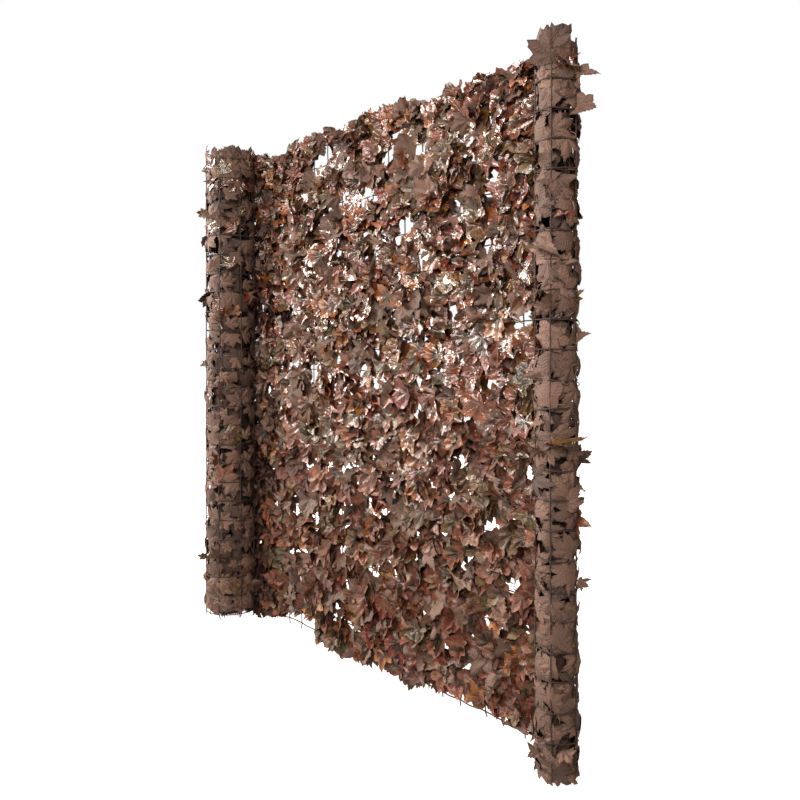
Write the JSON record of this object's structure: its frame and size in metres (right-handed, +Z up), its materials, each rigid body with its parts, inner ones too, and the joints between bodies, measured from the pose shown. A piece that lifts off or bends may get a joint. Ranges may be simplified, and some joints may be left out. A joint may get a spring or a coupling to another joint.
{
  "type": "balcony privacy screen",
  "caption": "Leaf-covered wire net privacy screen standing on edge, its open stretch between two ends rolled forward.",
  "frame": {"origin": "middle of the footprint's bounding box, on the floor", "axes": "+X along the open stretch, from the larger roll to the smaller one; the leaves face -Y and the bare back of the net +Y; +Z up"},
  "size_m": [1.5102, 0.2146, 1.554],
  "materials": {
    "coated_wire": "satin brown plastic coat on wire",
    "leaf_cloth": "printed polyester leaves in autumn browns, slightly glossy",
    "leaf_back": "matt taupe back of a printed polyester leaf"
  },
  "bodies": {
    "root": {"wire_net": "coated_wire", "leaf_cover": "leaf_cloth", "leaf_right_top": "leaf_back", "leaf_right_upper_a": "leaf_back", "leaf_right_upper_b": "leaf_back", "leaf_right_middle": "leaf_back", "leaf_right_low": "leaf_back", "leaf_right_front": "leaf_back", "leaf_right_foot_a": "leaf_back", "leaf_right_foot_b": "leaf_back", "leaf_left_top_a": "leaf_back", "leaf_left_top_b": "leaf_back", "leaf_left_upper": "leaf_back", "leaf_left_middle": "leaf_back", "leaf_left_front": "leaf_back", "leaf_left_low": "leaf_back"}
  },
  "joints": []
}
